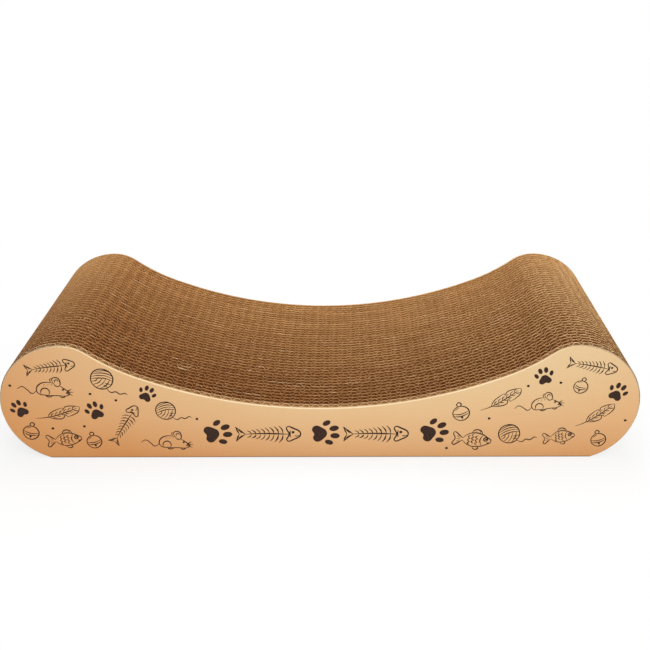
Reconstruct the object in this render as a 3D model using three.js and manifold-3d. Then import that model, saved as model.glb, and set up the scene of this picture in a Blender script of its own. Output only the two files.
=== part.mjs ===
// Concave lounge scratcher for a cat: corrugated board plies, die-cut to one outline, stood on edge and
// glued side by side between two printed side panels. Millimetres, +Z up. X runs along the length, Y runs
// through the stack of plies from front to back, and the flat base stands on z = 0.
import * as THREE from 'three';
import { mergeVertices } from 'three/addons/utils/BufferGeometryUtils.js';
import Module from 'manifold-3d';

// Outline that every ply and panel is cut to, seen from the front
const LENGTH = 540; // over the two round ends
const CREST_HEIGHT = 106; // top of the raised ends
const WAIST_HEIGHT = 48; // board left under the middle of the hollow
const END_HEIGHT = 51; // of the furthest point of each end
const TOE_CUT = 2.5; // that the base takes off the round underside of each end
const SHOULDER_RADIUS = 36; // from a crest down into the hollow
const FLANK_RADIUS = 180; // of the hollow where it rises to a shoulder
const FLANK_SLOPE = 36; // in degrees, where the hollow meets a shoulder

// Stack of boards
const DEPTH = 225; // over both side panels, as near as a whole number of plies comes
const PANEL_THICKNESS = 1.8; // side panel of thin solid board, printed on its outer face
const BACKING_THICKNESS = 5.3; // single-wall ply behind each panel, of a paler board
const CORE_PLY_THICKNESS = 5.3; // single-wall ply of the scratching block
const GLUE_LINE = 0.1; // between the faces of neighbouring boards

// Flutes of the plies, which stand upright and are open at the top and at the base
const FLUTE_PITCH = 8.3; // along a ply
const FLUTES_PER_GROOVE = 2; // real flutes that one open groove stands for
const LINER_THICKNESS = 0.8; // flat paper in front of the grooves; the next board closes them behind

// Largest distance from a cut curve to the straight facets that stand for it
const CHORD_ERROR = 0.4;
// How far the outline's cutter and the ridged block that it cuts reach past each other
const OVERRUN = 1;

const PANEL_COLOUR = 0xdba874;
const BACKING_COLOUR = 0xc79c66;
const CORE_COLOUR = 0x9a6b40;

const QUARTER_TURN = Math.PI / 2;

const wasm = await Module();
wasm.setup();

// Points along an arc, as few as keep within CHORD_ERROR of it, without the last one
function arcPoints(centreX, centreZ, radius, startAngle, endAngle) {
  const largestStep = 2 * Math.acos(1 - CHORD_ERROR / radius);
  const steps = Math.ceil(Math.abs(endAngle - startAngle) / largestStep);
  const clockwise = endAngle < startAngle;
  const arc = new THREE.EllipseCurve(centreX, centreZ, radius, radius, startAngle, endAngle, clockwise);
  return arc.getPoints(steps).slice(0, -1);
}

// Outline of the lounge: flat base, round ends that it cuts off below, crests, and one long hollow with a
// flatter floor that rises to both shoulders without a corner
function loungeOutline() {
  const toe = END_HEIGHT + TOE_CUT; // radius from the base out to the furthest point of an end
  const toeX = LENGTH / 2 - toe;
  const toeTurn = Math.asin(END_HEIGHT / toe);
  const footX = toeX + toe * Math.cos(toeTurn);
  const brow = CREST_HEIGHT - END_HEIGHT; // radius from the furthest point of an end up to its crest
  const crestX = LENGTH / 2 - brow;
  const shoulderZ = CREST_HEIGHT - SHOULDER_RADIUS;
  const slope = THREE.MathUtils.degToRad(FLANK_SLOPE);
  const flankX = crestX - (SHOULDER_RADIUS + FLANK_RADIUS) * Math.sin(slope);
  const flankZ = shoulderZ + (SHOULDER_RADIUS + FLANK_RADIUS) * Math.cos(slope);
  const flankRise = flankZ - FLANK_RADIUS - WAIST_HEIGHT; // from the waist to a flank circle's lowest point
  const floorTurn = 2 * Math.atan(flankRise / flankX); // slope where the hollow's floor meets a flank
  const floorRadius = FLANK_RADIUS + flankX / Math.sin(floorTurn);
  const floorZ = WAIST_HEIGHT + floorRadius;

  return new THREE.Shape([
    ...arcPoints(toeX, END_HEIGHT, toe, -toeTurn, 0),
    ...arcPoints(crestX, END_HEIGHT, brow, 0, QUARTER_TURN),
    ...arcPoints(crestX, shoulderZ, SHOULDER_RADIUS, QUARTER_TURN, QUARTER_TURN + slope),
    ...arcPoints(flankX, flankZ, FLANK_RADIUS, slope - QUARTER_TURN, floorTurn - QUARTER_TURN),
    ...arcPoints(0, floorZ, floorRadius, floorTurn - QUARTER_TURN, -floorTurn - QUARTER_TURN),
    ...arcPoints(-flankX, flankZ, FLANK_RADIUS, -floorTurn - QUARTER_TURN, -slope - QUARTER_TURN),
    ...arcPoints(-crestX, shoulderZ, SHOULDER_RADIUS, QUARTER_TURN - slope, QUARTER_TURN),
    ...arcPoints(-crestX, END_HEIGHT, brow, QUARTER_TURN, 2 * QUARTER_TURN),
    ...arcPoints(-toeX, END_HEIGHT, toe, 2 * QUARTER_TURN, 2 * QUARTER_TURN + toeTurn),
    new THREE.Vector2(-footX, 0),
  ]);
}

// A shape drawn out along z, from start to end
function drawnOut(shape, start, end) {
  const geometry = new THREE.ExtrudeGeometry(shape, { depth: end - start, bevelEnabled: false });
  return geometry.translate(0, 0, start);
}

// A closed geometry as a solid that can be cut
function solidOf(geometry) {
  const bare = geometry.clone().deleteAttribute('normal').deleteAttribute('uv');
  const { attributes, index } = mergeVertices(bare);
  const triVerts = new Uint32Array(index.array);
  return new wasm.Manifold(new wasm.Mesh({ numProp: 3, vertProperties: attributes.position.array, triVerts }));
}

// A cut solid as a geometry
function geometryOf(solid) {
  const { vertProperties, triVerts } = solid.getMesh();
  const geometry = new THREE.BufferGeometry();
  geometry.setAttribute('position', new THREE.BufferAttribute(vertProperties, 3));
  geometry.setIndex(new THREE.BufferAttribute(triVerts, 1));
  geometry.computeVertexNormals();
  return geometry;
}

// Board of one even thickness, lying flat with its front face up
const flatBoard = (outline, thickness) => drawnOut(outline, 0, thickness);

// Ply of fluted board, lying flat with its liner up: below the liner, ridges run across the length and leave
// an open groove between each two. One ridge is in the middle of the length.
function flutedBoard(outline, thickness) {
  const halfGroove = (FLUTE_PITCH * FLUTES_PER_GROOVE) / 2;
  const halfCount = Math.ceil((LENGTH / 2 + OVERRUN) / halfGroove);
  const grooveFloor = LINER_THICKNESS - thickness;
  const section = new THREE.Shape().moveTo(-halfCount * halfGroove, -thickness);
  section.lineTo(halfCount * halfGroove, -thickness);
  for (let step = halfCount; step >= -halfCount; step -= 1) {
    section.lineTo(step * halfGroove, step % 2 === 0 ? 0 : grooveFloor);
  }
  const ridged = drawnOut(section, -OVERRUN, CREST_HEIGHT + OVERRUN).rotateX(-QUARTER_TURN);
  const cutter = drawnOut(outline, -OVERRUN, thickness + OVERRUN);
  return geometryOf(solidOf(ridged).intersect(solidOf(cutter)));
}

// One board stood on edge with its front face at frontY
function boardMesh({ name, geometry, thickness, colour, roughness }, frontY) {
  const material = new THREE.MeshStandardMaterial({ color: colour, roughness, metalness: 0 });
  const mesh = new THREE.Mesh(geometry, material);
  mesh.name = name;
  mesh.rotation.x = QUARTER_TURN; // the outline stands up and the front face turns to -Y
  mesh.position.y = frontY + thickness;
  return mesh;
}

const outline = loungeOutline();
const panel = {
  geometry: flatBoard(outline, PANEL_THICKNESS),
  thickness: PANEL_THICKNESS,
  colour: PANEL_COLOUR,
  roughness: 0.7,
};
const backing = {
  geometry: flutedBoard(outline, BACKING_THICKNESS),
  thickness: BACKING_THICKNESS,
  colour: BACKING_COLOUR,
  roughness: 0.85,
};
const corePly = {
  geometry: flutedBoard(outline, CORE_PLY_THICKNESS),
  thickness: CORE_PLY_THICKNESS,
  colour: CORE_COLOUR,
  roughness: 0.9,
};

// Core plies that fill the space between the backing plies, each with one glue line, and one more to close it
const coreSpace = DEPTH - 2 * (PANEL_THICKNESS + GLUE_LINE + BACKING_THICKNESS) - GLUE_LINE;
const corePlyCount = Math.round(coreSpace / (CORE_PLY_THICKNESS + GLUE_LINE));

const corePlies = Array.from({ length: corePlyCount }, (_, index) => {
  const number = String(index + 1).padStart(2, '0');
  return { ...corePly, name: `core_ply_${number}` };
});

// The boards in order from the front to the back
const boards = [
  { ...panel, name: 'front_panel' },
  { ...backing, name: 'front_backing_ply' },
  ...corePlies,
  { ...backing, name: 'back_backing_ply' },
  { ...panel, name: 'back_panel' },
];

const boardTotal = boards.reduce((sum, { thickness }) => sum + thickness, 0);
const stackDepth = boardTotal + GLUE_LINE * (boards.length - 1);

const scratcher = new THREE.Group();
let frontY = -stackDepth / 2;
for (const board of boards) {
  scratcher.add(boardMesh(board, frontY));
  frontY += board.thickness + GLUE_LINE;
}

export default scratcher;
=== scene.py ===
"""Looks of a concave lounge scratcher for cats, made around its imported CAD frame.

The block is modelled as the real one is made: every ply is a corrugated board of two liners and a fluted
medium, trimmed to one die-cut outline, and the stack is closed by two printed side panels. Lengths are in
metres in the frame's own axes: +X along the lounge, -Y out of the front panel, +Z up.
"""
import logging
import math
import random
from collections.abc import Callable, Iterable, Sequence
from dataclasses import dataclass, replace

import bpy
from mathutils import Matrix, Vector


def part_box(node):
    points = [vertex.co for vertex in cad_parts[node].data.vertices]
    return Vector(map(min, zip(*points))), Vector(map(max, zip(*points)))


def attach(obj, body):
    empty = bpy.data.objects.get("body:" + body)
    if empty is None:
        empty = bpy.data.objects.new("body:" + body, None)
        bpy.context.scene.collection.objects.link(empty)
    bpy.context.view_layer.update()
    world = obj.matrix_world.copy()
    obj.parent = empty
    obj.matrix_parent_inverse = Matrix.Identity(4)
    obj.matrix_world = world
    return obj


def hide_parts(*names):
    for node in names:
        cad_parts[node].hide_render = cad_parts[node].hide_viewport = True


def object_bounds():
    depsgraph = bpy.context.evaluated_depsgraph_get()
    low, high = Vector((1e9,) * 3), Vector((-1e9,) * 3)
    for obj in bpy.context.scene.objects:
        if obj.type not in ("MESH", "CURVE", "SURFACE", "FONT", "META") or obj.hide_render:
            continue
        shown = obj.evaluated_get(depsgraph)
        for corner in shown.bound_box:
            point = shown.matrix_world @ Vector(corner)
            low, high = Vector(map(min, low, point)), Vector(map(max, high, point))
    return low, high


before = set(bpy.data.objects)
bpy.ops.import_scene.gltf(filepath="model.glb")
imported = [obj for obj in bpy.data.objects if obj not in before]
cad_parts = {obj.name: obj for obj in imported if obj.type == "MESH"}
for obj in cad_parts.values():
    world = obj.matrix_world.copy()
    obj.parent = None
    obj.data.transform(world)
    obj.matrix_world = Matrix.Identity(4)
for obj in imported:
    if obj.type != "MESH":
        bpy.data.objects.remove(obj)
CAD_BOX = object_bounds()

MM = 0.001
QUARTER_TURN = math.pi / 2
CREASE = math.radians(40)  # least angle that stays a sharp edge
WELD = 0.001 * MM  # points nearer than this become one
NEAR = 0.01 * MM  # points this near lie in the same plane
BODY = "root"
SEED = 41
FRAY_SEEDS = 9999
OVAL_POINTS = 8
PHOTO_WIDTH = 650  # in pixels
MIX_FIRST, MIX_SECOND, MIX_RESULT = 6, 7, 2  # sockets for colours on a Mix node
LOG = logging.getLogger("scratcher")

Piece = bpy.types.Object
Paper = bpy.types.Material
Socket = bpy.types.NodeSocket
Colour = tuple[float, float, float]
Point = tuple[float, float, float]
Place = tuple[float, float]
Path = tuple[list[Place], bool]
Span = tuple[float, float]

ORIGIN: Point = (0.0, 0.0, 0.0)
EVEN: Point = (1.0, 1.0, 1.0)
ALONG: Point = (1.0, 0.0, 0.0)
UP: Point = (0.0, 0.0, 1.0)
WHITE: Colour = (1.0, 1.0, 1.0)
# Painted contact shadow: a dark colour along each paper's lowest edge, fading out between these heights
# above the floor.
PAINTED_CONTACT_SHADE: Colour = (0.13, 0.055, 0.02)
CONTACT_SHADE_RISE: Span = (0.4 * MM, 1.4 * MM)
TORN: Colour = (0.88, 0.60, 0.33)


def deselect_all() -> None:
    """Goes back to object mode with nothing selected."""
    if bpy.context.mode != "OBJECT":
        bpy.ops.object.mode_set(mode="OBJECT")
    bpy.ops.object.select_all(action="DESELECT")


def open_whole() -> None:
    """Opens the active mesh in edit mode with all of it selected."""
    bpy.ops.object.mode_set(mode="EDIT")
    bpy.ops.mesh.select_all(action="SELECT")


def close_mesh() -> None:
    """Goes back to object mode."""
    bpy.ops.object.mode_set(mode="OBJECT")


def make_active(piece: Piece) -> None:
    """Selects one object alone and makes it the active one.

    Args:
        piece: The object that the next operators act on.
    """
    deselect_all()
    piece.select_set(True)
    bpy.context.view_layer.objects.active = piece


def select_points(piece: Piece, chosen: Callable[[Vector], bool]) -> None:
    """Opens a mesh in edit mode with only some of its points selected.

    Args:
        piece: The mesh object to edit.
        chosen: Tells whether the point at a place is selected.
    """
    make_active(piece)
    bpy.ops.object.mode_set(mode="EDIT")
    bpy.ops.mesh.select_mode(type="VERT")
    bpy.ops.mesh.select_all(action="DESELECT")
    bpy.ops.object.mode_set(mode="OBJECT")
    for vertex in piece.data.vertices:
        vertex.select = chosen(vertex.co)
    bpy.ops.object.mode_set(mode="EDIT")


def shift_mesh(piece: Piece, offset: Point) -> None:
    """Moves all of a mesh inside its object, which stays at the origin.

    Args:
        piece: The mesh object to edit.
        offset: How far its points move.
    """
    select_points(piece, lambda place: True)
    bpy.ops.transform.translate(value=offset)
    close_mesh()


def copy_of(master: Piece, name: str) -> Piece:
    """Copies a modelled piece, with a mesh of its own.

    Args:
        master: The piece to copy.
        name: The copy's name.

    Returns:
        The new object, selected and active.
    """
    make_active(master)
    bpy.ops.object.duplicate(linked=False)
    twin = bpy.context.object
    twin.name = name
    twin.data.name = name
    return twin


def apply_modifiers(piece: Piece) -> None:
    """Applies every modifier of a piece, in order."""
    make_active(piece)
    for modifier in list(piece.modifiers):
        bpy.ops.object.modifier_apply(modifier=modifier.name)


def join_into(target: Piece, others: Iterable[Piece]) -> None:
    """Joins other meshes into a piece.

    Args:
        target: The piece that stays.
        others: The pieces that become part of it.
    """
    make_active(target)
    for other in others:
        other.select_set(True)
    if len(bpy.context.selected_objects) > 1:
        bpy.ops.object.join()


def dress(piece: Piece, papers: Iterable[Paper]) -> None:
    """Gives a piece its materials, in place of any that it has.

    Args:
        piece: The mesh object.
        papers: The materials, in slot order.
    """
    piece.data.materials.clear()
    for paper in papers:
        piece.data.materials.append(paper)


def dress_edge(board: Piece, slot: int) -> None:
    """Gives a flat board's cut edge another of its materials than its two broad faces.

    Args:
        board: The board, with its materials in place.
        slot: Which of them the edge gets.
    """
    for face in board.data.polygons:
        broad = abs(face.normal.y) > 0.5
        face.material_index = 0 if broad else slot


def report(piece: Piece) -> None:
    """Logs a finished piece."""
    LOG.info("%s: %d faces", piece.name, len(piece.data.polygons))


def seen_rays(tree: bpy.types.NodeTree) -> Socket:
    """Adds nodes that tell the rays of the camera, of mirrors and through glass from all others.

    Args:
        tree: The node tree of a material or a world.

    Returns:
        1 for such a ray, or else 0.
    """
    rays = tree.nodes.new("ShaderNodeLightPath")
    seen = rays.outputs["Is Camera Ray"]
    for kind in ("Is Glossy Ray", "Is Transmission Ray"):
        either = tree.nodes.new("ShaderNodeMath")
        either.operation = "MAXIMUM"
        tree.links.new(seen, either.inputs[0])
        tree.links.new(rays.outputs[kind], either.inputs[1])
        seen = either.outputs["Value"]
    return seen


@dataclass(frozen=True)
class Arc:
    """One round stretch of the die-cut outline, turned about a centre in the plane of the board."""

    centre_x: float
    centre_z: float
    angle: float
    steps: int


@dataclass(frozen=True)
class LoungeOutline:
    """Die-cut outline that every board shares, seen from the front."""

    length: float
    crest_height: float
    waist_height: float = 48 * MM
    end_height: float = 51 * MM
    toe_cut: float = 2.5 * MM
    shoulder_radius: float = 36 * MM
    flank_radius: float = 180 * MM
    flank_slope: float = math.radians(36)
    end_steps: int = 30
    shoulder_steps: int = 10
    flank_steps: int = 8
    floor_steps: int = 36

    @property
    def toe(self) -> float:
        """Radius of each end's underside, which the base cuts off."""
        return self.end_height + self.toe_cut

    @property
    def foot_x(self) -> float:
        """Half the length of the flat base."""
        return self.length / 2 - self.toe + math.sqrt(self.toe**2 - self.end_height**2)

    def arcs(self) -> list[Arc]:
        """Works out the outline above the base as arcs that meet without a corner.

        Returns:
            The arcs in order, from the right end of the base round to its left end.
        """
        toe_x = self.length / 2 - self.toe
        toe_turn = math.asin(self.end_height / self.toe)
        brow = self.crest_height - self.end_height
        crest_x = self.length / 2 - brow
        shoulder_z = self.crest_height - self.shoulder_radius
        reach = self.shoulder_radius + self.flank_radius
        flank_x = crest_x - reach * math.sin(self.flank_slope)
        flank_z = shoulder_z + reach * math.cos(self.flank_slope)
        floor_turn = 2 * math.atan((flank_z - self.flank_radius - self.waist_height) / flank_x)
        floor = self.flank_radius + flank_x / math.sin(floor_turn)
        flank_turn = floor_turn - self.flank_slope
        right = [
            Arc(toe_x, self.end_height, toe_turn, self.end_steps),
            Arc(crest_x, self.end_height, QUARTER_TURN, self.end_steps),
            Arc(crest_x, shoulder_z, self.flank_slope, self.shoulder_steps),
            Arc(flank_x, flank_z, flank_turn, self.flank_steps),
        ]
        middle = Arc(0.0, self.waist_height + floor, -2 * floor_turn, self.floor_steps)
        left = [replace(arc, centre_x=-arc.centre_x) for arc in reversed(right)]
        return [*right, middle, *left]

    def blank(self, name: str, front: float, back: float) -> Piece:
        """Models a flat board of this outline by spinning one point along the arcs.

        Args:
            name: The new object's name.
            front: Y of the board's front face.
            back: Y of its back face.

        Returns:
            The closed board.
        """
        deselect_all()
        bpy.ops.mesh.primitive_plane_add(size=MM)
        board = bpy.context.object
        board.name = name
        open_whole()
        bpy.ops.mesh.merge(type="CENTER")
        bpy.ops.transform.translate(value=(self.foot_x, front, 0.0))
        for arc in self.arcs():
            centre = (arc.centre_x, front, arc.centre_z)
            bpy.ops.mesh.spin(steps=arc.steps, angle=arc.angle, center=centre, axis=(0.0, 1.0, 0.0))
        bpy.ops.mesh.select_all(action="SELECT")
        bpy.ops.mesh.remove_doubles(threshold=WELD)
        bpy.ops.mesh.edge_face_add()
        bpy.ops.mesh.extrude_region_move(TRANSFORM_OT_translate={"value": (0.0, back - front, 0.0)})
        bpy.ops.mesh.select_all(action="SELECT")
        bpy.ops.mesh.normals_make_consistent(inside=False)
        close_mesh()
        return board


@dataclass(frozen=True)
class Grain:
    """Noise pattern of a surface.

    Its scale is in patches per metre, its detail in octaves. It shows as patches, which rise from one value
    to another, and each axis has its own stretch.
    """

    scale: float
    detail: float
    shows: Span = (0.0, 1.0)
    stretch: Point = EVEN


PLY_TONES = Grain(185.0, 2.0, (0.3, 0.7), (0.09, 1.0, 0.09))
FIBRES = Grain(900.0, 4.0, (0.55, 0.75))
SCUFFS = Grain(330.0, 1.0, (0.62, 0.74), (0.16, 1.0, 0.16))
CLOUDS = Grain(9.0, 3.0, (0.42, 0.8))
STREAKS = Grain(2600.0, 3.0, stretch=(0.12, 1.0, 1.0))
SPECKS = Grain(1500.0, 1.0, (0.7, 0.8))
THIN_INK = Grain(700.0, 3.0, (0.5, 0.8))


class Recipe:
    """Node tree of one material, with short calls that add and join its nodes."""

    def __init__(self, name: str) -> None:
        """Starts a material with a Principled shader.

        Args:
            name: The material's name.
        """
        self.material = bpy.data.materials.new(name)
        self.material.use_nodes = True
        self.tree = self.material.node_tree
        self.shader = self.tree.nodes["Principled BSDF"]
        self.place = self.add("ShaderNodeTexCoord").outputs["Object"]

    def add(self, kind: str, **settings: object) -> bpy.types.Node:
        """Adds a node.

        Args:
            kind: The node's type name.
            settings: Its properties, by name.

        Returns:
            The new node.
        """
        node = self.tree.nodes.new(kind)
        for key, value in settings.items():
            setattr(node, key, value)
        return node

    def join(self, output: Socket, socket: Socket) -> None:
        """Links an output to a socket."""
        self.tree.links.new(output, socket)

    def paint(self, socket: Socket, colour: Colour | Socket) -> None:
        """Gives a socket a plain colour, or links it to a node's colour."""
        if isinstance(colour, tuple):
            socket.default_value = (*colour, 1.0)
        else:
            self.join(colour, socket)

    def noise(self, grain: Grain) -> Socket:
        """Adds a noise pattern on the object's own coordinates.

        Args:
            grain: The pattern.

        Returns:
            The noise's value.
        """
        mapping = self.add("ShaderNodeMapping")
        mapping.inputs["Scale"].default_value = grain.stretch
        self.join(self.place, mapping.inputs["Vector"])
        pattern = self.add("ShaderNodeTexNoise")
        pattern.inputs["Scale"].default_value = grain.scale
        pattern.inputs["Detail"].default_value = grain.detail
        self.join(mapping.outputs["Vector"], pattern.inputs["Vector"])
        return pattern.outputs["Fac"]

    def patches(self, grain: Grain, most: float = 1.0) -> Socket:
        """Adds a noise pattern of which only patches show.

        Args:
            grain: The pattern.
            most: The share in the middle of a patch.

        Returns:
            The share, which is 0 between the patches.
        """
        return self.ramp(self.noise(grain), grain.shows, (0.0, most))

    def ramp(self, value: Socket, span: Span, result: Span = (0.0, 1.0)) -> Socket:
        """Spreads a span of values evenly over another.

        Args:
            value: The value to spread.
            span: The least and the most that count.
            result: What these two become.

        Returns:
            The spread value.
        """
        node = self.add("ShaderNodeMapRange")
        for name, limit in zip(("From Min", "From Max", "To Min", "To Max"), (*span, *result)):
            node.inputs[name].default_value = limit
        self.join(value, node.inputs["Value"])
        return node.outputs["Result"]

    def along(self, direction: Point) -> Socket:
        """Measures how far a place lies in one direction.

        Args:
            direction: The direction, in the object's own axes.

        Returns:
            The distance in metres, times the direction's length.
        """
        node = self.add("ShaderNodeVectorMath", operation="DOT_PRODUCT")
        self.join(self.place, node.inputs[0])
        node.inputs[1].default_value = direction
        return node.outputs["Value"]

    def distance(self, middle: Point, reach: Point) -> Socket:
        """Measures how far a place lies from another, on a scale of its own along each axis.

        Args:
            middle: Where the distance is 0.
            reach: How far away it is 1 along each axis, or 0 for an axis that doesn't count.

        Returns:
            The distance.
        """
        scale = [1 / length if length else 0.0 for length in reach]
        node = self.add("ShaderNodeVectorMath", operation="MULTIPLY_ADD")
        self.join(self.place, node.inputs[0])
        node.inputs[1].default_value = scale
        node.inputs[2].default_value = [-place * share for place, share in zip(middle, scale)]
        length = self.add("ShaderNodeVectorMath", operation="LENGTH")
        self.join(node.outputs["Vector"], length.inputs[0])
        return length.outputs["Value"]

    def mix(self, share: Socket, first: Colour | Socket, second: Colour | Socket) -> Socket:
        """Mixes two colours.

        Args:
            share: How much of the second colour shows, from 0 to 1.
            first: A colour, or a node's colour.
            second: The other one.

        Returns:
            The mixed colour.
        """
        node = self.add("ShaderNodeMix", data_type="RGBA")
        self.join(share, node.inputs["Factor"])
        self.paint(node.inputs[MIX_FIRST], first)
        self.paint(node.inputs[MIX_SECOND], second)
        return node.outputs[MIX_RESULT]

    def with_contact_shade(self, colour: Socket) -> Socket:
        """Paints shade along the lowest edge of a paper, where it stands on the floor: a painted contact
        shadow.

        Args:
            colour: The paper's colour.

        Returns:
            The colour with its dark edge.
        """
        return self.mix(self.ramp(self.along(UP), CONTACT_SHADE_RISE), PAINTED_CONTACT_SHADE, colour)

    def finish(self, colour: Colour | Socket, roughness: float, sheen: float) -> Paper:
        """Gives the surface its colour and its shine.

        Args:
            colour: A colour, or a node's colour.
            roughness: How dull it is, from 0 to 1.
            sheen: How strongly it reflects, where 0.5 is usual.

        Returns:
            The material.
        """
        self.paint(self.shader.inputs["Base Color"], colour)
        self.shader.inputs["Roughness"].default_value = roughness
        self.shader.inputs["Specular IOR Level"].default_value = sheen
        return self.material

    def multiply(self, first: Socket, second: Socket) -> Socket:
        """Multiplies two colours, channel by channel."""
        node = self.add("ShaderNodeVectorMath", operation="MULTIPLY")
        self.join(first, node.inputs[0])
        self.join(second, node.inputs[1])
        return node.outputs["Vector"]

    def bump(self, height: Socket, strength: float, distance: float) -> None:
        """Gives the surface a fine relief.

        Args:
            height: The relief's pattern.
            strength: Its share, from 0 to 1.
            distance: Its depth in metres.
        """
        node = self.add("ShaderNodeBump")
        node.inputs["Strength"].default_value = strength
        node.inputs["Distance"].default_value = distance
        self.join(height, node.inputs["Height"])
        self.join(node.outputs["Normal"], self.shader.inputs["Normal"])

    def to_white(self, share: Socket) -> None:
        """Lets the surface look white to the camera, and in mirrors and glass.

        Args:
            share: How white each place looks, from 0 to 1.
        """
        amount = self.add("ShaderNodeMath", operation="MULTIPLY")
        self.join(seen_rays(self.tree), amount.inputs[0])
        self.join(share, amount.inputs[1])
        glow = self.add("ShaderNodeEmission")
        pick = self.add("ShaderNodeMixShader")
        self.join(amount.outputs["Value"], pick.inputs["Fac"])
        self.join(self.shader.outputs["BSDF"], pick.inputs[1])
        self.join(glow.outputs["Emission"], pick.inputs[2])
        self.join(pick.outputs["Shader"], self.tree.nodes["Material Output"].inputs["Surface"])


@dataclass(frozen=True)
class KraftFinish:
    """Raw kraft paper: flecked brown with fibres, a tone that changes from ply to ply, painted shade
    towards the front, painted light towards the back and the right, and a painted tone at the ends that
    stands for the light and shade falling there.

    A cut edge may also be scuffed: short strokes along the board where the paper has been torn pale.
    """

    name: str
    light: Colour
    dark: Colour
    fleck: Colour
    # Colour painted towards both ends, from the span below outwards: paler as painted light on the core
    # plies, darker as painted shade on the backing ply and the rim.
    painted_end_tone: Colour
    # The two tints below are painted shade and painted light: the colour darkens towards the front and
    # pales towards the back, and towards the right where the axis leans.
    front_painted_shade: Colour = WHITE
    back_painted_light: Colour = WHITE
    painted_light_axis: Point = (0.6, 1.0, 0.0)
    painted_light_span: Span = (-120 * MM, 120 * MM)
    painted_end_span: Span = (185 * MM, 235 * MM)
    scuffed: float = 0.0
    roughness: float = 0.92
    sheen: float = 0.12
    relief: float = 0.06 * MM
    relief_share: float = 0.6

    def material(self) -> Paper:
        """Builds the paper's nodes.

        Returns:
            The finished material.
        """
        recipe = Recipe(self.name)
        fibres = recipe.noise(FIBRES)
        paper = recipe.mix(recipe.patches(PLY_TONES), self.dark, self.light)
        # Towards both ends the colour turns to a painted tone that stands for the light and shade falling
        # on the ends.
        outward = recipe.add("ShaderNodeMath", operation="ABSOLUTE")
        recipe.join(recipe.along(ALONG), outward.inputs[0])
        ends = recipe.ramp(outward.outputs["Value"], self.painted_end_span)
        with_painted_ends = recipe.mix(ends, paper, self.painted_end_tone)
        flecked = recipe.mix(recipe.ramp(fibres, FIBRES.shows), with_painted_ends, self.fleck)
        # Painted light and shade: darker towards the front, paler towards the back and the right.
        toward_painted_light = recipe.ramp(recipe.along(self.painted_light_axis), self.painted_light_span)
        painted_light_tint = recipe.mix(toward_painted_light, self.front_painted_shade, self.back_painted_light)
        strokes = recipe.patches(SCUFFS, self.scuffed)
        scuffed_with_painted_light = recipe.mix(strokes, recipe.multiply(flecked, painted_light_tint), TORN)
        recipe.bump(fibres, self.relief_share, self.relief)
        return recipe.finish(recipe.with_contact_shade(scuffed_with_painted_light), self.roughness, self.sheen)


@dataclass(frozen=True)
class SmoothKraft:
    """Calendered kraft of the side panels: tan that deepens away from a pale place, partly the paper's own
    tone and partly a painted pool of light towards the top and the right, with fine fibres.
    """

    name: str
    pale: Colour
    deep: Colour
    cloud: Colour
    speck: Colour
    # Palest place of the panel and the reach of its gradient: partly the paper's own tone, partly painted
    # light.
    painted_light_place: Point = (64 * MM, 0.0, 122 * MM)
    reach: Point = (404 * MM, 0.0, 148 * MM)
    clouded: float = 0.4
    roughness: float = 0.6
    sheen: float = 0.25
    relief: float = 0.02 * MM
    relief_share: float = 0.35

    def material(self) -> Paper:
        """Builds the paper's nodes.

        Returns:
            The finished material.
        """
        recipe = Recipe(self.name)
        away = recipe.ramp(recipe.distance(self.painted_light_place, self.reach), (0.0, 1.0))
        ground = recipe.mix(away, self.pale, self.deep)
        clouds = recipe.patches(CLOUDS, self.clouded)
        clouded = recipe.mix(clouds, ground, self.cloud)
        specked = recipe.mix(recipe.patches(SPECKS), clouded, self.speck)
        recipe.bump(recipe.noise(STREAKS), self.relief_share, self.relief)
        return recipe.finish(recipe.with_contact_shade(specked), self.roughness, self.sheen)


@dataclass(frozen=True)
class PressInk:
    """Dark brown printing ink, thinner where the paper's fibres show through."""

    name: str = "brown_ink"
    full: Colour = (0.030, 0.012, 0.007)
    thin: Colour = (0.085, 0.036, 0.019)
    roughness: float = 0.55
    sheen: float = 0.2

    def material(self) -> Paper:
        """Builds the ink's nodes.

        Returns:
            The finished material.
        """
        recipe = Recipe(self.name)
        ink = recipe.mix(recipe.patches(THIN_INK), self.full, self.thin)
        return recipe.finish(ink, self.roughness, self.sheen)


# Painted shade that darkens the cut edges towards the front; their back tints are painted light.
FRONT_PAINTED_SHADE: Colour = (0.78, 0.67, 0.615)
# The walls inside the flutes are darker and redder than the cut edges: partly the paper's own face, partly
# painted shade in the flutes' hollows.
KRAFT_WALL = KraftFinish(
    "kraft_wall",
    light=(0.39, 0.165, 0.051),
    dark=(0.30, 0.115, 0.035),
    fleck=(0.46, 0.225, 0.075),
    painted_end_tone=(0.485, 0.24, 0.095),
    front_painted_shade=(0.55, 0.41, 0.33),
    back_painted_light=(1.5, 1.72, 1.75),
    painted_light_axis=(0.0, 1.0, 0.0),
)
KRAFT_EDGE = KraftFinish(
    "kraft_cut_edge",
    light=(0.58, 0.32, 0.126),
    dark=(0.47, 0.245, 0.09),
    fleck=(0.72, 0.46, 0.20),
    painted_end_tone=(0.70, 0.43, 0.182),
    front_painted_shade=FRONT_PAINTED_SHADE,
    back_painted_light=(1.20, 1.25, 1.33),
    scuffed=0.6,
)
MEDIUM_EDGE = KraftFinish(
    "kraft_medium_edge",
    light=(0.56, 0.30, 0.118),
    dark=(0.44, 0.22, 0.08),
    fleck=(0.66, 0.40, 0.17),
    painted_end_tone=(0.64, 0.37, 0.16),
    front_painted_shade=FRONT_PAINTED_SHADE,
    back_painted_light=(1.22, 1.30, 1.38),
    scuffed=0.6,
)
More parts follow.
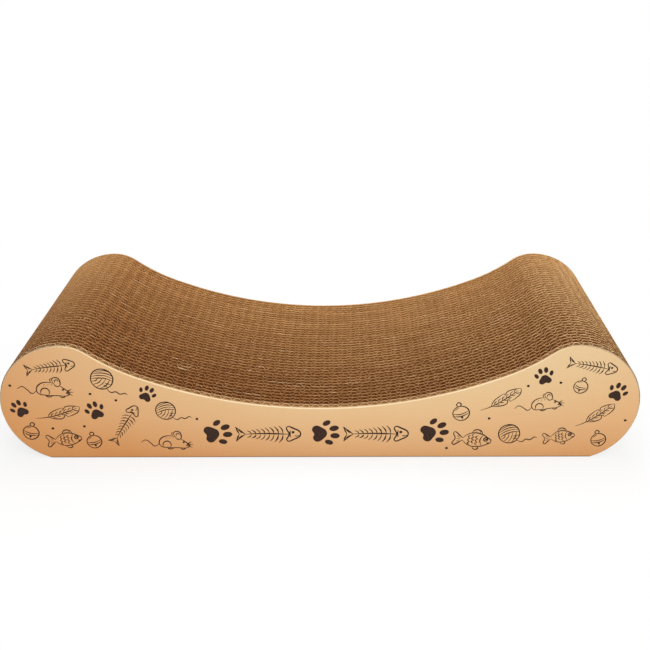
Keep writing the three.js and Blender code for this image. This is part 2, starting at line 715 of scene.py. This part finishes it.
# As on the core, this wall is darker than its cut edge, partly as painted shade in the flutes; its darker
# end tone is painted shade at the ends.
PALE_WALL = KraftFinish(
    "pale_kraft_wall",
    light=(0.56, 0.31, 0.13),
    dark=(0.45, 0.232, 0.092),
    fleck=(0.62, 0.37, 0.175),
    painted_end_tone=(0.26, 0.13, 0.055),
)
PALE_EDGE = KraftFinish(
    "pale_kraft_cut_edge",
    light=(0.80, 0.515, 0.262),
    dark=(0.66, 0.405, 0.193),
    fleck=(0.86, 0.60, 0.35),
    painted_end_tone=(0.84, 0.56, 0.31),
    scuffed=0.5,
)
# The rim's cream colour is partly the board's pale cut edge and partly a painted highlight along the
# rounded rim.
CREAM_RIM = KraftFinish(
    "cream_cut_edge",
    light=(0.92, 0.75, 0.48),
    dark=(0.86, 0.66, 0.40),
    fleck=(0.96, 0.82, 0.58),
    painted_end_tone=(0.56, 0.38, 0.21),
)
PANEL_FACE = SmoothKraft(
    "printed_kraft_face",
    pale=(0.876, 0.75, 0.455),
    deep=(0.678, 0.305, 0.103),
    cloud=(0.75, 0.43, 0.19),
    speck=(0.60, 0.33, 0.15),
)


class PaperStore:
    """All materials of the scratcher, each built once, sorted by the pieces that they dress."""

    def __init__(self) -> None:
        """Builds the materials."""
        wall, edge, medium_edge = (kraft.material() for kraft in (KRAFT_WALL, KRAFT_EDGE, MEDIUM_EDGE))
        pale_wall, pale_edge, rim = (kraft.material() for kraft in (PALE_WALL, PALE_EDGE, CREAM_RIM))
        face = PANEL_FACE.material()
        self.core = [wall, edge, medium_edge]
        self.backing = [pale_wall, pale_edge, pale_edge]
        self.front_panel = [face, rim, pale_wall]
        self.back_panel = [face, edge, edge]
        self.ink = PressInk().material()


@dataclass(frozen=True)
class BoardGrade:
    """Corrugated board: its flutes, its papers and how unevenly it is made and cut."""

    pitch: float = 8.3 * MM
    liner: float = 0.36 * MM
    medium: float = 0.42 * MM
    lean: float = 0.22
    steps: int = 14
    spare_flutes: int = 4
    phase: float = 0.9 * MM
    wander: float = 2.2 * MM
    wander_patch: float = 26 * MM
    fray: float = 0.12 * MM
    even_foot: float = 1 * MM
    die_overhang: float = 10 * MM

    def wave(self, turn: float) -> float:
        """Shape of the fluted medium, with broad arches on one face and narrow feet on the other.

        Args:
            turn: Place along one flute, from 0 to 1.

        Returns:
            Height of the medium there, from -1 to 1.
        """
        angle = 2 * math.pi * turn
        return math.cos(angle) - self.lean * (math.cos(2 * angle) - 1)


class FlutedSheet:
    """Fluted medium of one board, long enough to be trimmed to any blank."""

    def __init__(self, grade: BoardGrade, outline: LoungeOutline, thickness: float) -> None:
        """Models one flute and repeats it.

        Args:
            grade: The board that the sheet belongs to.
            outline: The blank that it has to cover.
            thickness: The board's thickness.
        """
        self.grade = grade
        self.swing = (thickness - 2 * grade.liner - grade.medium) / 2
        self.reach = outline.crest_height
        self.count = math.ceil(outline.length / grade.pitch) + grade.spare_flutes
        self.middle = Vector((0.0, 0.0, outline.crest_height / 2))
        self.master = self.one_flute()
        self.repeat()

    def one_flute(self) -> Piece:
        """Bends a flat strip into one flute.

        Returns:
            The flute, upright, at the middle of the outline's height.
        """
        deselect_all()
        steps, pitch = self.grade.steps, self.grade.pitch
        bpy.ops.mesh.primitive_grid_add(x_subdivisions=steps, y_subdivisions=1, size=1.0)
        strip = bpy.context.object
        strip.name = "fluted_medium"
        open_whole()
        bpy.ops.transform.resize(value=(pitch, self.reach + 2 * pitch, 1.0))
        bpy.ops.transform.rotate(value=QUARTER_TURN, orient_axis="X", center_override=ORIGIN)
        bpy.ops.transform.translate(value=self.middle)
        for step in range(steps + 1):
            column = (step / steps - 0.5) * pitch
            select_points(strip, lambda place: abs(place.x - column) < NEAR)
            bpy.ops.transform.translate(value=(0.0, self.swing * self.grade.wave(step / steps - 0.5), 0.0))
        close_mesh()
        return strip

    def repeat(self) -> None:
        """Repeats the flute along the board and gives the paper its thickness."""
        row = self.master.modifiers.new("row", "ARRAY")
        row.count = self.count
        row.use_relative_offset = False
        row.use_constant_offset = True
        row.constant_offset_displace = (self.grade.pitch, 0.0, 0.0)
        row.use_merge_vertices = True
        row.merge_threshold = WELD
        paper = self.master.modifiers.new("paper", "SOLIDIFY")
        paper.thickness = self.grade.medium
        paper.offset = 0.0
        apply_modifiers(self.master)
        shift_mesh(self.master, (-self.grade.pitch * (self.count - 1) / 2, 0.0, 0.0))


class CorrugatedStack:
    """All corrugated plies of the block, each trimmed from a fluted sheet and closed by two liners."""

    def __init__(self, outline: LoungeOutline, grade: BoardGrade) -> None:
        """Takes the sizes that the plies share.

        Args:
            outline: The die-cut outline.
            grade: The corrugated board.
        """
        self.outline = outline
        self.grade = grade
        self.draw = random.Random(SEED)
        low, high = CAD_BOX
        self.die = outline.blank("die", low.y - grade.die_overhang, high.y + grade.die_overhang)
        self.liner = outline.blank("liner", 0.0, grade.liner)
        self.sheets: dict[float, FlutedSheet] = {}
        self.wander = bpy.data.textures.new("flute_wander", "CLOUDS")
        self.wander.noise_scale = grade.wander_patch

    def sheet(self, thickness: float) -> FlutedSheet:
        """Gives the fluted sheet for boards of one thickness, modelled when it is first asked for.

        Args:
            thickness: The board's thickness.

        Returns:
            The sheet.
        """
        size = round(thickness / MM, 2)
        if size not in self.sheets:
            self.sheets[size] = FlutedSheet(self.grade, self.outline, thickness)
        return self.sheets[size]

    def ply(self, node: str, papers: Sequence[Paper]) -> Piece:
        """Makes the board that stands for one CAD ply.

        Args:
            node: The CAD ply's name.
            papers: The materials of its walls, of its liners' cut edges and of its medium's cut edges.

        Returns:
            The finished board.
        """
        low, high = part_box(node)
        board = copy_of(self.sheet(high.y - low.y).master, node.replace("ply", "board"))
        phase = self.draw.uniform(-self.grade.phase, self.grade.phase)
        shift_mesh(board, (phase, (low.y + high.y) / 2, 0.0))
        dress(board, papers[:1])
        dress(self.die, papers[2:])
        wander = board.modifiers.new("wander", "DISPLACE")
        wander.texture = self.wander
        wander.texture_coords = "LOCAL"
        wander.direction = "X"
        wander.strength = self.grade.wander
        trim = board.modifiers.new("trim", "BOOLEAN")
        trim.operation = "INTERSECT"
        trim.solver = "MANIFOLD"
        trim.material_mode = "TRANSFER"
        trim.object = self.die
        apply_modifiers(board)
        join_into(board, [self.facing(papers[:2], y) for y in (low.y, high.y - self.grade.liner)])
        self.rough_up(board)
        bpy.ops.object.shade_smooth_by_angle(angle=CREASE)
        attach(board, BODY)
        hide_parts(node)
        return board

    def facing(self, papers: Sequence[Paper], front: float) -> Piece:
        """Cuts one liner.

        Args:
            papers: The materials of its face and of its cut edge.
            front: Y of its front face.

        Returns:
            The liner.
        """
        liner = copy_of(self.liner, "liner_copy")
        shift_mesh(liner, (0.0, front, 0.0))
        dress(liner, papers)
        dress_edge(liner, 1)
        return liner

    def rough_up(self, board: Piece) -> None:
        """Frays the cut edges of a board by small seeded moves.

        Args:
            board: The trimmed board.
        """
        cut = {corner for face in board.data.polygons if face.material_index for corner in face.vertices}
        points = [vertex.co.copy() for vertex in board.data.vertices]
        chosen = {tuple(points[corner]) for corner in cut if points[corner].z > self.grade.even_foot}
        select_points(board, lambda place: True)
        bpy.ops.mesh.quads_convert_to_tris(quad_method="FIXED", ngon_method="BEAUTY")
        select_points(board, lambda place: tuple(place) in chosen)
        bpy.ops.transform.vertex_random(offset=self.grade.fray, seed=self.draw.randrange(FRAY_SEEDS))
        close_mesh()

    def clear_bench(self) -> None:
        """Takes the die, the master liner and the master sheets away."""
        for tool in (self.die, self.liner, *(sheet.master for sheet in self.sheets.values())):
            bpy.data.objects.remove(tool)


@dataclass(frozen=True)
class SidePanel:
    """Side panel of thin solid board, with a soft pale rim that is partly a painted highlight, and ends
    that stop short of the plies behind.
    """

    outline: LoungeOutline
    rim: float = 0.8 * MM
    rim_steps: int = 3
    rim_slot: int = 1
    edge_slot: int = 2
    short: float = 0.7 * MM

    def build(self, node: str, papers: Sequence[Paper]) -> Piece:
        """Makes the panel that stands for one CAD panel.

        Args:
            node: The CAD panel's name.
            papers: The materials of its faces, of its rim and of its cut edge.

        Returns:
            The finished panel.
        """
        low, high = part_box(node)
        outer = low.y if low.y < -high.y else high.y
        panel = self.outline.blank(node.replace("panel", "side_panel"), low.y, high.y)
        dress(panel, papers)
        dress_edge(panel, self.edge_slot)
        select_points(panel, lambda place: True)
        share = 1 - 2 * self.short / self.outline.length
        bpy.ops.transform.resize(value=(share, 1.0, 1.0), center_override=ORIGIN)
        select_points(panel, lambda place: abs(place.y - outer) < NEAR)
        bpy.ops.mesh.bevel(offset=self.rim, segments=self.rim_steps, material=self.rim_slot)
        close_mesh()
        bpy.ops.object.shade_smooth_by_angle(angle=CREASE)
        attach(panel, BODY)
        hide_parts(node)
        return panel


def on_circle(radius: float, degrees: float) -> Place:
    """Gives the point at an angle on a circle about the origin."""
    angle = math.radians(degrees)
    return (radius * math.cos(angle), radius * math.sin(angle))


class Drawing:
    """Pen lines and solid spots of one motif, in millimetres about its own middle."""

    def __init__(self) -> None:
        """Starts with an empty sheet."""
        self.lines: list[Path] = []
        self.spots: list[Path] = []

    def line(self, *points: Place, closed: bool = False) -> None:
        """Adds a pen line through some points."""
        self.lines.append((list(points), closed))

    def spot(self, *points: Place) -> None:
        """Adds a solid spot with a smooth edge through some points."""
        self.spots.append((list(points), True))

    def oval(self, middle: Place, across: float, up: float, turn: float = 0.0, solid: bool = False) -> None:
        """Adds an oval.

        Args:
            middle: Its middle.
            across: Half its width.
            up: Half its height.
            turn: How far it leans, in degrees.
            solid: Whether it is filled.
        """
        lean = math.radians(turn)
        points = []
        for step in range(OVAL_POINTS):
            angle = 2 * math.pi * step / OVAL_POINTS
            x, y = across * math.cos(angle), up * math.sin(angle)
            swung = (x * math.cos(lean) - y * math.sin(lean), x * math.sin(lean) + y * math.cos(lean))
            points.append((middle[0] + swung[0], middle[1] + swung[1]))
        (self.spots if solid else self.lines).append((points, True))


def paw(art: Drawing) -> None:
    """Draws a paw print: one broad pad under four toes."""
    heel = ((4.4, -0.8), (5.8, -4.6), (3.2, -6.8))
    art.spot((0, 2.4), *heel, (0, -5.8), *((-x, y) for x, y in reversed(heel)))
    for side in (-1, 1):
        art.oval((side * 2.7, 7.2), 1.9, 3.0, -8 * side, solid=True)
        art.oval((side * 7.0, 2.9), 1.7, 2.7, 24 * -side, solid=True)


def fish_bone(art: Drawing) -> None:
    """Draws a fish bone: spine, ribs, head and tail."""
    art.line((-16.4, 0), (-6, 0.5), (4, 0.3), (13, 0))
    for rib in range(8):
        x = 9.4 - 3.1 * rib
        reach = 6.6 - 0.55 * rib
        for side in (-1, 1):
            art.line((x, 0.3 * side), (x - 0.7, 0.55 * reach * side), (x - 2.9, reach * side))
    snout = ((16.4, 4.6), (21.4, 0.2), (16.4, -4.0))
    art.line((12.2, 5.4), *snout, (12.2, -5.2), (13.4, 0.0), closed=True)
    art.oval((16.2, 1.5), 1.0, 1.0, solid=True)
    art.line((20.6, -0.9), (18.6, -1.5), (17.2, -1.1))
    art.line((14.4, 2.8), (13.9, 0.4), (14.4, -2.4))
    for side in (-1, 1):
        art.line((-16.4, 0), (-19.0, 1.9 * side), (-23.0, 5.8 * side))
        art.line((-23.0, 5.8 * side), (-21.9, 2.6 * side), (-20.6, 0))
        art.line((-18.8, 0.9 * side), (-20.9, 2.9 * side))


def fish(art: Drawing) -> None:
    """Draws a plump fish with scales."""
    back = ((-9, 0.9), (-3.4, 5.4), (4, 6.0), (10.2, 3.4))
    belly = ((9.6, -3.4), (3, -5.6), (-4, -4.8), (-9, -0.9))
    art.line(*back, (13.6, 0.2), *belly)
    art.line((-9, 0.9), (-11.6, 3.0), (-16, 5.6), (-14.6, 0.2), (-16, -5.4), (-11.6, -3.0), (-9, -0.9))
    for rise in (-2.4, 0.1, 2.6):
        art.line((-11.0, 0.4 * rise), (-13.6, rise))
    art.oval((9.3, 1.5), 1.5, 1.5)
    art.oval((9.5, 1.4), 0.7, 0.7, solid=True)
    art.line((12.4, -1.2), (11.2, -1.7), (10.2, -1.2))
    art.line((6.4, 4.8), (4.9, 0.4), (6.2, -4.2))
    for column, lowest in ((2.2, -3.0), (-0.8, -1.6), (-3.8, -3.0)):
        for row in (lowest, lowest + 2.8, lowest + 5.6):
            art.line((column + 0.9, row + 1.5), (column - 0.8, row), (column + 0.9, row - 1.5))
    art.line((-2.6, 5.6), (0.2, 9.0), (4.6, 8.4), (6.2, 5.6))
    for step in range(3):
        art.line((0.2 + 1.9 * step, 6.2), (0.9 + 1.6 * step, 7.9))
    art.line((-0.6, -5.4), (0.6, -8.0), (4.0, -7.4), (3.6, -5.6))


def yarn(art: Drawing) -> None:
    """Draws a ball of yarn with a loose end."""
    ball = 9.8
    art.oval((0, 0), ball, ball)
    for drop in (-1.0, 1.5, 4.0, 6.4):
        half = 0.97 * math.sqrt(ball**2 - drop**2)
        rise = 0.1 * half
        bend = ((-3 * rise, drop + 1.5), (4 * rise, drop + 2.2))
        art.line((-half, drop - rise), *bend, (half, drop + rise))
    for strand in range(4):
        foot = on_circle(0.98 * ball, 206 + 22 * strand)
        top = (-3.4 + 3.5 * strand, 0.2 + 0.3 * strand)
        middle = (0.45 * foot[0] + 0.55 * top[0] + 0.9, 0.45 * foot[1] + 0.55 * top[1] - 0.9)
        art.line(foot, middle, top)
    for strand in range(2):
        foot = on_circle(0.98 * ball, 338 - 24 * strand)
        middle = (0.7 * foot[0] - 1.2, 0.7 * foot[1] - 0.9)
        art.line(foot, middle, (0.3 * foot[0] + 0.6, -3.2 - 2.0 * strand))
    art.line((5.4, -8.2), (9.8, -11.2), (14.2, -9.4), (18.0, -11.0), (22.4, -9.2), (24.6, -10.4))


def mouse(art: Drawing) -> None:
    """Draws a toy mouse with a wavy tail."""
    nape, brow = (1.0, 6.2), (6.0, 4.2)
    rump = ((-4.6, 6.8), (-10.4, 4.6), (-13.2, 0.0), (-11.8, -4.2))
    belly = ((-6, -5.4), (4, -5.2), (11.4, -4.8))
    art.line(nape, *rump, *belly, (13.8, -2.8), (10.0, 1.4), brow)
    art.line(nape, (-0.4, 9.2), (1.6, 11.6), (4.8, 11.0), (6.6, 8.0), brow, (3.4, 3.6), nape)
    art.line((2.2, 6.6), (2.0, 8.8), (3.6, 9.6), (5.0, 7.8))
    art.line((-1.2, 7.0), (-2.0, 9.4), (-0.4, 10.8))
    art.oval((8.7, 0.6), 0.85, 0.95, solid=True)
    art.oval((13.8, -2.9), 1.05, 0.95, solid=True)
    for tip in ((15.8, 1.6), (17.2, -1.2), (16.6, -4.6)):
        art.line((11.0, -2.6), (0.5 * (11.0 + tip[0]), 0.5 * tip[1] - 0.7), tip)
    art.line((-3.2, -5.2), (-2.6, -1.8), (-5.6, 1.0), (-9.2, -0.6), (-9.8, -4.6))
    art.line((-6.4, -5.4), (-4.2, -6.9), (-1.0, -6.6), (0.2, -5.4))
    art.line((5.6, -5.2), (7.4, -6.6), (9.8, -6.0), (10.2, -5.0))
    for stitch in range(3):
        art.line((-7.4 + 3.1 * stitch, 3.4 + 0.3 * stitch), (-6.2 + 3.1 * stitch, 4.7 + 0.3 * stitch))
    art.line((-13.0, -1.4), (-17.0, -4.6), (-21.2, -1.4), (-25.2, 1.4), (-29.4, -1.2))


def feather(art: Drawing) -> None:
    """Draws a feather with a split vane."""
    art.line((-18, -9.0), (-10, -6.2), (-2, -2.0), (7, 3.8), (15, 9.6))
    art.line((-8.4, -5.4), (-7.0, -1.0), (-2.2, 3.6), (2.6, 7.0))
    art.line((2.6, 7.0), (3.4, 5.4), (4.6, 8.2), (10.0, 10.8), (17.4, 11.8))
    art.line((17.4, 11.8), (17.0, 6.8), (13.2, 2.2), (8.6, -1.0))
    art.line((8.6, -1.0), (6.6, 0.8), (5.4, -2.8), (-0.6, -5.4), (-8.4, -5.4))
    for barb in range(6):
        x, y = -5.6 + 3.4 * barb, -4.0 + 2.25 * barb
        art.line((x, y), (x + 0.4, y + 2.2), (x + 2.0, y + 3.8))
        art.line((x + 0.8, y + 0.4), (x + 3.0, y - 0.2), (x + 5.0, y + 0.4))


def bell(art: Drawing) -> None:
    """Draws a round jingle bell."""
    art.oval((0, 0), 6.9, 6.9)
    for drop in (0.0, 2.1):
        art.line((-6.7, 0.9 - drop), (-2.6, -0.5 - drop), (2.6, -0.5 - drop), (6.7, 0.9 - drop))
    art.oval((0, -4.0), 1.0, 1.0, solid=True)
    art.line((0, -4.2), (0, -6.8))
    art.oval((0, 8.6), 1.9, 1.8)
    art.line((-4.2, 3.6), (-2.2, 5.2), (-0.6, 5.6))


def dot(art: Drawing) -> None:
    """Draws a small solid dot."""
    art.oval((0, 0), 1.2, 1.1, solid=True)


@dataclass(frozen=True)
class Spot:
    """Place of one motif on a panel: millimetres from the middle of its foot, degrees and size."""

    x: float
    z: float
    turn: float = 0.0
    size: float = 1.0


Motif = Callable[[Drawing], None]
LAYOUT: dict[Motif, tuple[Spot, ...]] = {
    paw: (
        Spot(-253, 47, 28, 0.9), Spot(-190, 45, 20, 0.95), Spot(-146, 61, -28, 0.85),
        Spot(-90, 24, -76, 1.35), Spot(2, 24, -84, 1.35), Spot(95, 25, -72, 1.35),
        Spot(187, 77, 15, 0.9), Spot(249, 62, -25, 0.95),
    ),
    fish_bone: (
        Spot(-223, 87, 8, 0.95), Spot(-166, 33, 58, 0.95), Spot(-44, 23, 0, 1.25),
        Spot(48, 23, 0, 1.25), Spot(227, 87, -10, 0.95),
    ),
    fish: (
        Spot(-218, 18, 6, 1.0), Spot(131, 17, -6, 1.1), Spot(205, 20, 8, 0.9),
    ),
    yarn: (
        Spot(-182, 76, -14, 0.95), Spot(-131, 46, 6, 0.85), Spot(161, 23, 14, 0.92),
    ),
    mouse: (
        Spot(-224, 66, -4, 1.0), Spot(-126, 15, -3, 0.95), Spot(190, 52, 8, 0.9),
    ),
    feather: (
        Spot(-222, 43, -14, 0.95), Spot(152, 55, 2, 0.95), Spot(233, 40, 4, 0.92),
    ),
    bell: (
        Spot(-247, 25, -14, 0.95), Spot(-194, 16, 12, 0.9), Spot(119, 43, 16, 1.0),
        Spot(218, 68, -18, 0.85), Spot(238, 17, 14, 0.9),
    ),
    dot: (
        Spot(-193, 62), Spot(-201, 31), Spot(-172, 56), Spot(-105, 38), Spot(-259, 70), Spot(-228, 29),
        Spot(201, 72), Spot(143, 38), Spot(174, 69), Spot(259, 36), Spot(108, 9),
    ),
}


@dataclass(frozen=True)
class Pen:
    """Pen of the print: its line, its film of ink and its slightly unsteady hand.

    The lift is in films, the wobble in a drawing's millimetres, the tip and the pressure in line widths.
    """

    line: float = 0.85 * MM
    film: float = 0.06 * MM
    lift: float = 0.55
    wobble: float = 0.15
    tip: float = 0.45
    pressure: Span = (0.75, 1.4)
    steps: int = 6


class PanelPrint:
    """Line print of generic motifs, laid on a panel as a film of ink."""

    def __init__(self, ink: Paper, pen: Pen) -> None:
        """Draws each motif once.

        Args:
            ink: The ink's material.
            pen: The pen that draws.
        """
        self.ink = ink
        self.pen = pen
        self.hand = random.Random(SEED)
        self.masters = {motif: self.plate(motif) for motif in LAYOUT}

    def plate(self, motif: Motif) -> Piece:
        """Draws a motif as a flat mesh of ink.

        Args:
            motif: The motif.

        Returns:
            The mesh, lying on the XY plane about the origin.
        """
        art = Drawing()
        motif(art)
        parts = []
        for paths, solid in ((art.lines, False), (art.spots, True)):
            if not paths:
                continue
            deselect_all()
            bpy.ops.curve.primitive_bezier_curve_add()
            part = bpy.context.object
            part.name = motif.__name__
            self.trace(part.data, paths, solid)
            bpy.ops.object.convert(target="MESH")
            part = bpy.context.object
            if not solid:
                open_whole()
                bpy.ops.transform.resize(value=(1.0, 1.0, self.pen.film / self.pen.line))
                close_mesh()
            parts.append(part)
        join_into(parts[0], parts[1:])
        dress(parts[0], [self.ink])
        return parts[0]

    def trace(self, curve: bpy.types.Curve, paths: list[Path], solid: bool) -> None:
        """Lays the pen along a drawing's paths.

        Args:
            curve: The curve to fill.
            paths: The points of each path, and whether it is closed.
            solid: Whether the paths are outlines of solid spots.
        """
        pen = self.pen
        curve.splines.clear()
        curve.dimensions = "2D" if solid else "3D"
        curve.resolution_u = pen.steps
        if solid:
            curve.fill_mode = "BOTH"
            curve.extrude = pen.film / 2
        else:
            curve.bevel_depth = pen.line / 2
            curve.bevel_resolution = 0
            curve.use_fill_caps = True
        wobble = 0.0 if solid else pen.wobble
        for points, closed in paths:
            spline = curve.splines.new("BEZIER")
            last = len(points) - 1
            spline.bezier_points.add(last)
            spline.use_cyclic_u = closed
            for index, (knot, (x, y)) in enumerate(zip(spline.bezier_points, points)):
                x += self.hand.uniform(-wobble, wobble)
                y += self.hand.uniform(-wobble, wobble)
                knot.co = (x * MM, y * MM, 0.0)
                knot.handle_left_type = "AUTO"
                knot.handle_right_type = "AUTO"
                tip = not closed and index in (0, last)
                knot.radius = pen.tip if tip else self.hand.uniform(*pen.pressure)

    def press(self, name: str, surface: float, turned: bool) -> Piece:
        """Prints the whole layout on one panel.

        Args:
            name: The new print's name.
            surface: Y of the panel's outer face.
            turned: Whether the panel faces the back.

        Returns:
            The finished print.
        """
        facing = Matrix.Rotation(math.pi if turned else 0.0, 4, "Z")
        upright = Matrix.Rotation(QUARTER_TURN, 4, "X")
        depth = -abs(surface) - self.pen.lift * self.pen.film
        stamps = [(motif, spot) for motif, spots in LAYOUT.items() for spot in spots]
        prints = []
        for motif, spot in stamps:
            stamp = copy_of(self.masters[motif], name)
            place = Matrix.Translation((spot.x * MM, depth, spot.z * MM))
            lean = Matrix.Rotation(math.radians(spot.turn), 4, "Z")
            size = Matrix.Diagonal((spot.size, spot.size, 1.0, 1.0))
            stamp.matrix_world = facing @ place @ upright @ lean @ size
            bpy.ops.object.transform_apply(location=True, rotation=True, scale=True)
            prints.append(stamp)
        join_into(prints[0], prints[1:])
        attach(prints[0], BODY)
        return prints[0]

    def clear_bench(self) -> None:
        """Takes the master motifs away."""
        for master in self.masters.values():
            bpy.data.objects.remove(master)


@dataclass(frozen=True)
class Softbox:
    """Square soft lamp: where it stands, the point that it faces, its width and its power in watts."""

    name: str
    place: Point
    aim: Point
    size: float
    power: float

    def build(self) -> None:
        """Adds the lamp."""
        deselect_all()
        bpy.ops.object.light_add(type="AREA", location=self.place)
        lamp = bpy.context.object
        lamp.name = self.name
        lamp.data.size = self.size
        lamp.data.energy = self.power
        way = Vector(self.aim) - Vector(self.place)
        lamp.rotation_euler = way.to_track_quat("-Z", "Y").to_euler()


@dataclass(frozen=True)
class Studio:
    """Camera at the photograph's angle, pale floor and plain soft light."""

    focal_share: float = 990.3 / PHOTO_WIDTH
    shift_share: float = -21.1 / PHOTO_WIDTH
    sensor: float = 36.0
    eye: Point = (16.8 * MM, -848.7 * MM, 451.3 * MM)
    pitch: float = 23.906
    yaw: float = -0.357
    roll: float = 0.084
    floor_size: float = 12.0
    floor_drop: float = 0.2 * MM
    floor_colour: Colour = (0.95, 0.95, 0.95)
    shadow_reach: Span = (0.2, 0.7)
    floor_white: Span = (0.76, 1.0)
    sky: float = 0.56
    key: Softbox = Softbox("key_softbox", (0.9, -2.1, 2.2), aim=(0.0, 0.0, 0.05), size=2.2, power=39.5)
    top: Softbox = Softbox("top_softbox", (0.05, 0.3, 0.95), aim=(0.0, 0.08, 0.1), size=0.7, power=4.4)

    def build(self) -> None:
        """Sets up camera, floor, lamps and world."""
        self.camera()
        self.floor()
        self.key.build()
        self.top.build()
        self.world()
        bpy.context.scene.view_settings.view_transform = "Standard"

    def camera(self) -> None:
        """Adds the camera."""
        deselect_all()
        bpy.ops.object.camera_add(location=self.eye)
        camera = bpy.context.object
        camera.data.sensor_width = self.sensor
        camera.data.lens = self.focal_share * self.sensor
        camera.data.shift_x = self.shift_share
        turn = Matrix.Rotation(math.radians(self.yaw), 4, "Z")
        tilt = Matrix.Rotation(math.radians(90 - self.pitch), 4, "X")
        lean = Matrix.Rotation(math.radians(self.roll), 4, "Z")
        camera.matrix_world = Matrix.Translation(self.eye) @ turn @ tilt @ lean
        bpy.context.scene.camera = camera

    def floor(self) -> None:
        """Adds the pale floor, which keeps the shadow near the object and turns white further away."""
        deselect_all()
        bpy.ops.mesh.primitive_plane_add(size=self.floor_size, location=(0.0, 0.0, -self.floor_drop))
        floor = bpy.context.object
        floor.name = "studio_floor"
        recipe = Recipe("pale_floor")
        recipe.finish(self.floor_colour, roughness=1.0, sheen=0.0)
        away = recipe.distance(ORIGIN, EVEN)
        recipe.to_white(recipe.ramp(away, self.shadow_reach, self.floor_white))
        dress(floor, [recipe.material])

    def world(self) -> None:
        """Gives even light from all round, and a white background to the camera."""
        world = bpy.data.worlds.new("studio_world")
        world.use_nodes = True
        bpy.context.scene.world = world
        nodes, links = world.node_tree.nodes, world.node_tree.links
        glow = nodes["Background"]
        glow.inputs["Color"].default_value = (*WHITE, 1.0)
        glow.inputs["Strength"].default_value = self.sky
        white = nodes.new("ShaderNodeBackground")
        white.inputs["Color"].default_value = (*WHITE, 1.0)
        pick = nodes.new("ShaderNodeMixShader")
        links.new(seen_rays(world.node_tree), pick.inputs["Fac"])
        links.new(glow.outputs["Background"], pick.inputs[1])
        links.new(white.outputs["Background"], pick.inputs[2])
        links.new(pick.outputs["Shader"], nodes["World Output"].inputs["Surface"])


def main() -> None:
    """Builds the scratcher's boards, its print and the studio, and reports each piece."""
    logging.basicConfig(level=logging.INFO, format="%(name)s: %(message)s")
    outline = LoungeOutline(CAD_BOX[1].x - CAD_BOX[0].x, CAD_BOX[1].z - CAD_BOX[0].z)
    store = PaperStore()

    stack = CorrugatedStack(outline, BoardGrade())
    for node, papers in (("front_backing_ply", store.backing), ("back_backing_ply", store.core)):
        board = stack.ply(node, papers)
        report(board)
    for node in sorted(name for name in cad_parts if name.startswith("core_ply")):
        board = stack.ply(node, store.core)
        report(board)
    stack.clear_bench()

    press = PanelPrint(store.ink, Pen())
    sides = (("front_panel", store.front_panel, False), ("back_panel", store.back_panel, True))
    for node, papers, turned in sides:
        panel = SidePanel(outline).build(node, papers)
        report(panel)
        low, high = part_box(node)
        sheet = press.press(node.replace("panel", "print"), high.y if turned else low.y, turned)
        report(sheet)
    press.clear_bench()

    Studio().build()


if __name__ == "__main__":
    main()
